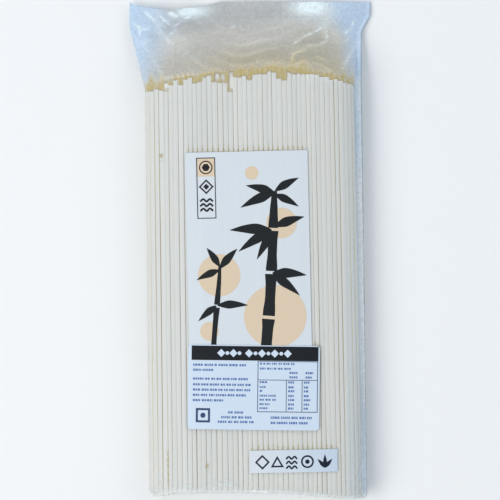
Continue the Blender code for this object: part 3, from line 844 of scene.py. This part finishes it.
def painted_golden_shade(x, y, above, dips, past_front, past_tip, fin):
    """Painted golden shade from the bundle's depths, laid on the film and speckled, at places in
    millimetres: a clumped band with a ragged upper line just past the tips, which thins out up the
    header, pits full of it over short sticks, painted shade in the dips between sticks above each
    label, both nicks and one gap."""
    shade_top = 2.5 + 3.2 * bell(x, 29.0, 13.0) + 3.2 * bell(x, -59.0, 6.0)
    ragged = 1.0 + 0.4 * np.sin(x / 1.7 + 2.0 * np.sin(x / 4.3)) + 0.12 * np.sin(x / 0.5)
    shade_top = ragged * (shade_top + 4.2 * bell(x, 60.0, 5.0))
    band = smooth(past_tip, -0.8, -0.2) * (1.0 - smooth(above, 0.2 * shade_top, 1.7 * shade_top))
    swirl = np.sin(x / 0.7 + 2.0 * np.sin(y / 0.9))
    speckle_pattern = 0.5 + 0.5 * swirl * np.sin(y / 0.5 - x / 3.0)
    pit = smooth(past_front, -0.8, -0.2) * (1.0 - smooth(past_front, 1.2, 2.4))
    thin_tail = 0.2 * np.exp(-np.maximum(past_tip, 0.0) / 12.0) * (past_tip > 0.0)
    golden_shade = (np.maximum((0.75 + 0.6 * speckle_pattern) * band, 0.9 * pit) + thin_tail) * (1.0 - fin)
    # painted shade: where the film lifts off the sticks over a label's upper edge, the gaps below it are
    # painted golden
    for left, right, edge, slope in LABEL_UPPER_EDGES:
        over = y - edge - slope * (x - left)
        beside = smooth(x, left, left + 1.0) * (1.0 - smooth(x, right - 1.0, right))
        fading = smooth(over, -0.6, 0.2) * np.exp(-np.maximum(over, 0.0) / 1.8)
        golden_shade += 3.4 * beside * dips**3 * fading + 0.45 * beside * fading**2
    for spot_x, spot_y in NICKS:
        golden_shade += 1.8 * bell(x, spot_x, 0.9) * bell(y, spot_y, 1.3)
    gap_x, gap_top, gap_foot = SHADED_GAP
    in_gap = smooth(y, gap_foot, gap_foot + 4.0) * (1.0 - smooth(y, gap_top - 4.0, gap_top))
    return np.clip(golden_shade + 1.6 * dips**2 * bell(x, gap_x, 1.4) * in_gap, 0.0, 1.4)


def film_tints(points, dips):
    """Colour, haze and painted golden shade of the film at each point, worked out in millimetres. Over
    the sticks it is clear, with a pale veil at the foot, painted white there as light, and low on the
    right. The header is milky, with painted glints and glare, and so is the fin, painted nearly white."""
    x, y, z = points.T
    above = (y - tip_line(x)) / MM
    over_foot = (y - FOOT_Y - foot_edge_rise(x)) / MM
    past_round = (x - round_right(y)) / MM
    past_front, past_tip = np.array(past_the_tips(x, y)) / MM
    x, y = x / MM, y / MM
    in_header = smooth(past_tip, -0.6, 1.2)
    # painted glints and glare, in a white light that turns golden low on the right of the header; they also
    # thicken the haze
    white = painted_film_glints(x, y)
    golden_light = np.clip(1.4 * bell(x, 36.0, 17.0) * bell(y, 113.0, 10.0), 0.0, 1.0)
    light = wash(from_screen(240, 252, 255), (240, 226, 186), golden_light)
    colour = mix(header_colour(x, y, above), light, white[:, None])

    # the fin is painted nearly white, as painted light against the shade of the bundle that falls on it
    fin = smooth(past_round, -1.4, 0.4)
    fin_colour = wash(from_screen(232, 231, 228), (250, 253, 255), smooth(y, -120.0, -60.0))
    fin_colour = wash(fin_colour, (236, 247, 255), smooth(y, 30.0, 70.0))
    colour = mix(colour, fin_colour, (fin * (1.0 - smooth(above, 0.0, 12.0)))[:, None])

    # a veil of haze at the foot, painted white: painted light on the downturned edge, which faces away from
    # the lamps
    foot_veil_and_light = 1.0 - smooth(over_foot, 0.5, 7.0)
    foot_edge = 1.0 - smooth(over_foot, 1.2, 4.0)
    right_veil = smooth(past_round, -14.0, 0.0) * (1.0 - smooth(y, -125.0, -40.0))
    haze = mix(mix(0.08, 0.68, in_header), 0.88, fin) + 0.34 * white
    haze += 0.26 * foot_veil_and_light + 0.40 * foot_edge + 0.22 * right_veil
    colour = wash(colour, (222, 232, 240), right_veil * (1.0 - in_header))
    colour = wash(colour, (250, 253, 253), foot_veil_and_light)
    golden_shade = painted_golden_shade(x, y, above, dips, past_front, past_tip, fin)
    return colour, haze, golden_shade * (z > CREASE_Z)


# Colour of the painted golden shade on the film
GOLDEN_SHADE_COLOUR = ink(194, 175, 120)


def clear_film():
    """Clear packing film: hazy where it is loose, glossy, with a fine crumple. Specks of the painted
    golden shade cover its tint where that shade lies, and make it more solid."""
    material, shader, tree = new_material("clear_packing_film", 0.2)
    grain = add_grain(tree, (420.0, 420.0, 420.0), 0.26)
    specks = add_grain(tree, (800.0, 700.0, 800.0), 0.42)
    crumple = add_grain(tree, (150.0, 210.0, 150.0), 0.0)
    speckled = add_node(tree, "ShaderNodeMath", {1: 3.4, 2: -0.95}, operation="MULTIPLY_ADD", use_clamp=True)
    cover = add_node(tree, "ShaderNodeMath", operation="MULTIPLY", use_clamp=True)
    shaded_tint = add_node(tree, "ShaderNodeMix", {"B": GOLDEN_SHADE_COLOUR}, data_type="RGBA")
    solid = add_node(tree, "ShaderNodeMath", {1: 0.55}, operation="MULTIPLY_ADD", use_clamp=True)
    wire(
        tree,
        (specks, "Height", speckled, 0),
        (speckled, "Value", cover, 0),
        (read_value(tree, "golden_shade"), "Fac", cover, 1),
        (read_value(tree, "tint"), "Color", grain, "Colour"),
        (grain, "Colour", specks, "Colour"),
        (specks, "Colour", shaded_tint, "A"),
        (cover, "Value", shaded_tint, "Factor"),
        (shaded_tint, "Result", shader, "Base Color"),
        (cover, "Value", solid, 0),
        (read_value(tree, "haze"), "Fac", solid, 2),
        (solid, "Value", shader, "Alpha"),
    )
    add_bump(tree, crumple, shader, 0.6, 0.6 * MM)
    return material


film, film_points, film_dips = clear_bag()
film_colour, film_haze, film_golden_shade = film_tints(film_points, film_dips)
give_values(film, "haze", film_haze)
give_values(film, "golden_shade", film_golden_shade)
film_colour = np.append(film_colour, np.ones((len(film_colour), 1)), axis=1)
tint = film.data.attributes.new("tint", "FLOAT_COLOR", "POINT")
tint.data.foreach_set("color", film_colour.astype(np.float32).ravel())
film.data.materials.append(clear_film())
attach(film, "root")
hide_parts("noodle_bag")

# The front panel: a tall sheet of thin coated paper, slipped in over the sticks and printed in tan
# and black. It bends a little over the bundle, and the sticks under it show as faint stripes.
INK_THICKNESS = 0.02 * MM
INK_STEP = 0.01 * MM
FIRST_INK = 0.03 * MM
SECOND_INK = 0.07 * MM
PAPER_TOP = 0.60 * MM
# Where the panel's prints lie: centre and turn, how far over the film its face is, and the slot
ON_PANEL = ((-0.5 * MM, -22.5 * MM), math.radians(1.3), PAPER_TOP, "panel_paper")
PANEL_WHITE = ink(221, 227, 233)
TAN_INK = ink(228, 207, 180)
BLACK_INK = ink(30, 34, 36)


def crown_height(x, y):
    """Height of the smooth film at a place on the front: the superellipse over the side crease."""
    middle, half = bundle_middle(y)
    off = np.clip(np.abs(x - middle) / half, 0.0, 1.0)
    return CREASE_Z + TOP_REACH * (1.0 - off**BUNDLE_POWER) ** (1.0 / BUNDLE_POWER)


def bar(x0, y0, x1, y1):
    """A filled rectangle as a grid of points, in the label's own millimetres."""
    across = max(2, int(abs(x1 - x0) / 2.5) + 2)
    along = max(2, int(abs(y1 - y0) / 6.0) + 2)
    return np.stack(np.meshgrid(np.linspace(x0, x1, across), np.linspace(y0, y1, along)), -1)


def disc(x, y, radius, hole=0.0, sides=56, start=0.0):
    """A filled disc or ring as a polar grid, in the label's own millimetres. With few sides it is a
    lozenge, a triangle or a hexagon, whose first corner lies at the start angle."""
    angles = np.radians(start) + np.linspace(0.0, 2.0 * math.pi, sides + 1)
    r, a = np.meshgrid(np.linspace(max(hole, 0.02 * radius), radius, 7), angles, indexing="ij")
    return np.stack([x + r * np.cos(a), y + r * np.sin(a)], -1)


def brush(path, ragged=0.0):
    """A brush stroke: a smooth curve through points x, y, width, with its width to both sides. The
    curve is cubic between points, and the width swells and tapers along it."""
    path = np.array(path, float)
    padded = np.concatenate([2 * path[:1] - path[1:2], path, 2 * path[-1:] - path[-2:-1]])
    t = np.linspace(0.0, len(path) - 1.001, 14 * (len(path) - 1) + 1)
    k = t.astype(int)
    u = (t - k)[:, None]
    a, b, c, d = (padded[k + n] for n in range(4))
    curve = 0.5 * (2 * b + (c - a) * u + (2 * a - 5 * b + 4 * c - d) * u**2 + (3 * b - a - 3 * c + d) * u**3)
    run = np.gradient(curve[:, :2], axis=0)
    side = np.stack([-run[:, 1], run[:, 0]], -1) / np.hypot(*run.T)[:, None]
    width = np.maximum(curve[:, 2], 0.15) * (1.0 + ragged * np.sin(t * 5.3) * np.sin(t * 2.1 + 1.0))
    offset = np.linspace(-0.5, 0.5, 5)
    return curve[:, None, :2] + side[:, None, :] * (width[:, None] * offset)[..., None]


def leaf(x, y, heading, length, width):
    """A leaf in one stroke of the brush: narrow at its stem, widest before its middle, then a long
    point that droops with the square of the way along."""
    way = np.array([(0.0, 0.12), (0.16, 0.62), (0.38, 1.0), (0.68, 0.66), (1.0, 0.03)])
    t, swell = way.T
    across = x + t * length * math.cos(math.radians(heading))
    up = y + t * length * math.sin(math.radians(heading)) - 0.12 * length * t * t
    return brush(np.stack([across, up, swell * width], -1))


def box(x0, y0, x1, y1, line):
    """A box drawn with four bars of one line width: its foot, its top and both sides."""
    return [
        bar(x0, y0, x1, y0 + line),
        bar(x0, y1 - line, x1, y1),
        bar(x0, y0 + line, x0 + line, y1 - line),
        bar(x1 - line, y0 + line, x1, y1 - line),
    ]


def wave(x, y, length, height, width):
    """A level wavy line with two crests."""
    return brush([(x + k * length / 4, y + height * (-0.5, 0.5)[k % 2], width) for k in range(5)])


def print_ink(name, shapes, label, lift, colour):
    """One colour of a label's print: flat shapes turned and moved to their label and laid a lift over
    its face, each a hair over the one before, and given the thickness of ink."""
    centre, turn, face_height, slot = label
    points, faces, start = [], [], 0
    for number, grid in enumerate(shapes):
        rows, columns = grid.shape[:2]
        index = start + np.arange(rows * columns).reshape(rows, columns)
        quads = np.stack([index[:-1, :-1], index[:-1, 1:], index[1:, 1:], index[1:, :-1]], -1).reshape(-1, 4)
        flat = grid.reshape(-1, 2)
        p = flat[quads - start]
        area = np.cross(p[:, 2] - p[:, 0], p[:, 3] - p[:, 1])
        faces += np.where(area[:, None] < 0.0, quads[:, ::-1], quads).tolist()
        layer = np.full((len(flat), 1), INK_STEP / MM * number / len(shapes))
        points.append(np.append(flat, layer, axis=1))
        start += len(flat)
    flat = np.concatenate(points) * MM
    cos, sin = math.cos(turn), math.sin(turn)
    x = centre[0] + flat[:, 0] * cos - flat[:, 1] * sin
    y = centre[1] + flat[:, 0] * sin + flat[:, 1] * cos
    z = crown_height(x, y) + face_height + lift + flat[:, 2]
    piece = make_mesh(name, np.stack([x, y, z], -1), faces)
    ink_depth = piece.modifiers.new("ink", "SOLIDIFY")
    ink_depth.thickness = INK_THICKNESS
    ink_depth.offset = 1.0
    material, shader, tree = new_material(name + "_ink", 0.5)
    grain = add_grain(tree, (900.0, 900.0, 900.0), 0.10, colour)
    wire(tree, (grain, "Colour", shader, "Base Color"))
    shader.inputs["Specular IOR Level"].default_value = 0.2
    piece.data.materials.append(material)
    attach(piece, "root")


def label_paper(name, colour, roughness, stripe, right_colour=None, across=(0.0, 1.0)):
    """Thin coated paper: a fine grain, and faint lengthwise stripes where sticks press from below, as a
    bump and as painted shade. With a right colour, the tone changes in a straight line across, from one X
    to the other."""
    material, shader, tree = new_material(name, roughness)
    grain = add_grain(tree, (700.0, 700.0, 700.0), 0.035, colour)
    stripes = add_grain(tree, (330.0, 4.0, 4.0), stripe)
    wire(tree, (grain, "Colour", stripes, "Colour"), (stripes, "Colour", shader, "Base Color"))
    add_bump(tree, stripes, shader, 0.2, 0.15 * MM)
    if right_colour:
        place = add_node(tree, "ShaderNodeTexCoord")
        parts = add_node(tree, "ShaderNodeSeparateXYZ")
        share = add_node(tree, "ShaderNodeMapRange", {"From Min": across[0], "From Max": across[1]})
        toned = add_node(tree, "ShaderNodeMix", {"A": colour, "B": right_colour}, data_type="RGBA")
        wire(
            tree,
            (place, "Object", parts, "Vector"),
            (parts, "X", share, "Value"),
            (share, "Result", toned, "Factor"),
            (toned, "Result", grain, "Colour"),
        )
    return material


def set_material(node, material):
    """Gives a CAD piece its finished material in place of the plain one."""
    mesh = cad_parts[node].data
    mesh.materials.clear()
    mesh.materials.append(material)


set_material("front_panel", label_paper("panel_paper_white", PANEL_WHITE, 0.42, 0.05))
panel_discs = [
    disc(15.0, -17.0, 18.5), disc(-17.5, 8.0, 12.5), disc(20.0, 38.0, 9.0),
    disc(-24.0, -25.0, 5.5), disc(3.0, 68.0, 4.0),
]
stems = [
    brush(path, 0.04) for path in (
        [(8.5, -42.0, 7.4), (9.8, -30.0, 6.4), (11.0, -18.5, 7.4)],
        [(11.2, -16.6, 7.2), (12.4, -4.0, 6.0), (13.2, 8.0, 7.0)],
        [(13.4, 9.8, 6.6), (14.2, 22.0, 5.4), (14.8, 33.5, 6.4)],
        [(15.0, 35.2, 5.8), (15.6, 46.0, 4.6), (16.2, 57.0, 3.0)],
        [(-22.5, -42.0, 3.6), (-21.0, -26.0, 3.0), (-19.4, -11.0, 3.6)],
        [(-19.2, -9.4, 3.4), (-17.8, 3.0, 2.6), (-17.0, 13.0, 1.8)],
    )
]
leaves = [
    leaf(*sizes) for sizes in (
        (14.0, 34.0, 172.0, 25.0, 6.2), (14.0, 34.0, 206.0, 22.0, 5.8), (14.5, 33.0, 236.0, 17.0, 5.0),
        (16.0, 36.0, 24.0, 19.0, 5.6), (16.2, 56.0, 158.0, 18.0, 5.0), (16.2, 56.0, 196.0, 21.0, 5.8),
        (16.6, 57.0, 34.0, 17.0, 4.8), (16.4, 55.0, 338.0, 15.0, 4.6), (14.0, 8.6, 2.0, 20.0, 5.8),
        (14.0, 8.0, 326.0, 19.0, 5.4), (-17.0, 13.0, 120.0, 15.0, 4.2), (-17.0, 12.0, 52.0, 17.0, 4.8),
        (-17.4, 11.0, 196.0, 14.0, 4.4), (-18.8, -9.8, 6.0, 18.0, 4.8), (-19.6, -10.0, 214.0, 13.0, 4.2),
    )
]
box_marks = [
    disc(-24.0, 71.8, 4.0, 3.3), disc(-24.0, 71.8, 2.4, 0.0, 6),
    disc(-24.0, 60.4, 4.4, 3.2, 4), disc(-24.0, 60.4, 1.8, 0.0, 4),
]
box_marks += [wave(-27.8, y, 7.6, 1.4, 1.1) for y in (52.4, 49.6, 46.8)]
tan_shapes = panel_discs + [bar(-29.0, 66.5, -19.0, 77.0)]
black_shapes = stems + leaves + box(-29.6, 41.6, -18.4, 77.6, 0.5) + box_marks
print_ink("panel_tan_print", tan_shapes, ON_PANEL, FIRST_INK, TAN_INK)
print_ink("panel_black_print", black_shapes, ON_PANEL, SECOND_INK, BLACK_INK)

# The information sticker: a wide self-adhesive paper label with rounded corners, stuck over the
# foot of the panel. A black band runs along its top, and dark blue rules and lines fill the rest.
ON_STICKER = ((2.2 * MM, -81.2 * MM), math.radians(-0.7), 1.20 * MM, "sticker_paper")
STICKER_WHITE = ink(214, 228, 244)
BAND_INK = ink(26, 29, 34)
BLUE_INK = ink(95, 125, 178)
RULE_INK = ink(58, 76, 112)
RULE_LIFT = 0.05 * MM
PRINT_SEED = 9


def block_line(rng, x0, x1, y, height, shortest=2.0, longest=6.5):
    """A line of small print from x0 to x1: groups of small blocks, all of one height. Each group has
    a random length between the two given."""
    blocks = []
    while x0 < x1 - shortest:
        end = min(x0 + rng.uniform(shortest, longest), x1)
        while x0 < end - 0.4:
            length = min(rng.uniform(0.6, 1.5), end - x0)
            blocks.append(bar(x0, y - 0.5 * height, x0 + length, y + 0.5 * height))
            x0 += length + 0.36
        x0 += rng.uniform(0.4, 0.7)
    return blocks


set_material("info_sticker", label_paper("sticker_paper_white", STICKER_WHITE, 0.36, 0.025))
marks = [
    disc(x, 20.2, 1.1) if number % 2 else disc(x, 20.2, 2.4, 0.0, 4)
    for number, x in enumerate((-19.4, -15.8, -12.2, -8.6, -3.0, 0.8, 4.6, 8.4, 12.2, 16.0, 19.8))
]
print_ink("sticker_band_print", [bar(-36.9, 15.9, 38.0, 24.4)], ON_STICKER, FIRST_INK, BAND_INK)
print_ink("sticker_white_print", marks, ON_STICKER, SECOND_INK, STICKER_WHITE)

# Lines of small print: left end, right end, place up, height, and for some the lengths of a group
left_rows = ((13.1, -4.0), (10.1, -24.0), (4.9, -1.0), (1.5, -1.5), (-1.6, -0.5), (-4.7, -2.0), (-7.8, -18.0))
table_rows = ((3.3, 10.0), (0.4, 9.0), (-1.9, 6.0), (-4.7, 14.5), (-7.1, 15.5), (-9.7, 10.0), (-12.1, 10.5))
lines = [(-35.9, end, y, 1.25) for y, end in left_rows]
lines += [(-15.0, -5.0, -14.8, 1.3), (-19.0, -1.0, -17.7, 1.3), (-21.0, 0.5, -20.4, 1.3)]
lines += [(3.5, 24.0, y, 1.1, 1.6, 4.5) for y in (14.2, 11.3)]
for y in (8.9, 6.3):
    lines += [(21.0, 26.0, y, 1.2, 4.0, 5.0), (30.5, 35.0, y, 1.2, 4.0, 5.0)]
for y, end in table_rows:
    lines += [(3.5, end, y, 1.1, 1.8, 5.0), (20.4, 24.0, y, 1.2, 3.0, 3.6), (29.6, 33.4, y, 1.2, 3.0, 3.8)]
lines += [(10.2, 34.4, y, 1.35) for y in (-17.6, -20.7)]
print_rng = np.random.default_rng(PRINT_SEED)
small_print = [block for line in lines for block in block_line(print_rng, *line)]
rules = [
    bar(2.2, 15.4, 37.8, 15.7), bar(2.2, -14.4, 37.8, -14.0), bar(2.2, 4.4, 37.8, 4.75),
    bar(2.2, -14.0, 2.6, 15.4), bar(37.4, -14.0, 37.8, 15.4),
    bar(19.1, -14.0, 19.45, 4.4), bar(28.4, -14.0, 28.75, 4.4),
]
rules += box(-34.0, -20.9, -25.6, -12.5, 1.2) + [disc(-29.8, -16.7, 1.5)]
print_ink("sticker_word_print", small_print, ON_STICKER, FIRST_INK, BLUE_INK)
print_ink("sticker_rule_print", rules, ON_STICKER, RULE_LIFT, RULE_INK)

# The weight slip: a small strip of paper stuck low on the right, with a row of plain dark marks.
ON_SLIP = ((25.7 * MM, -124.7 * MM), math.radians(1.0), PAPER_TOP, "slip_paper")
SLIP_WHITE = ink(224, 229, 236)
SLIP_RIGHT_REFLECTION = ink(204, 218, 234)
SLIP_ENDS = (0.0, 51.5 * MM)
SLIP_INK = ink(26, 34, 52)

# the slip's paper turns bluer towards its right: a painted bluish reflection
slip_paper = label_paper("slip_paper_white", SLIP_WHITE, 0.40, 0.04, SLIP_RIGHT_REFLECTION, SLIP_ENDS)
set_material("weight_slip", slip_paper)
slip_marks = [disc(-18.4, -0.3, 4.4, 3.0, 4), disc(-9.6, -1.2, 4.5, 2.6, 3, 90.0)]
slip_marks += [wave(-4.4, y, 6.6, 1.4, 1.0) for y in (2.0, -0.8, -3.6)]
slip_marks += [disc(8.2, -0.4, 3.8, 2.8), disc(8.2, -0.4, 1.3)]
slip_marks += [leaf(18.6, -4.2, *sizes) for sizes in ((126.0, 7.4, 2.2), (90.0, 9.0, 2.2), (54.0, 7.4, 2.2))]
print_ink("slip_black_print", slip_marks, ON_SLIP, FIRST_INK, SLIP_INK)
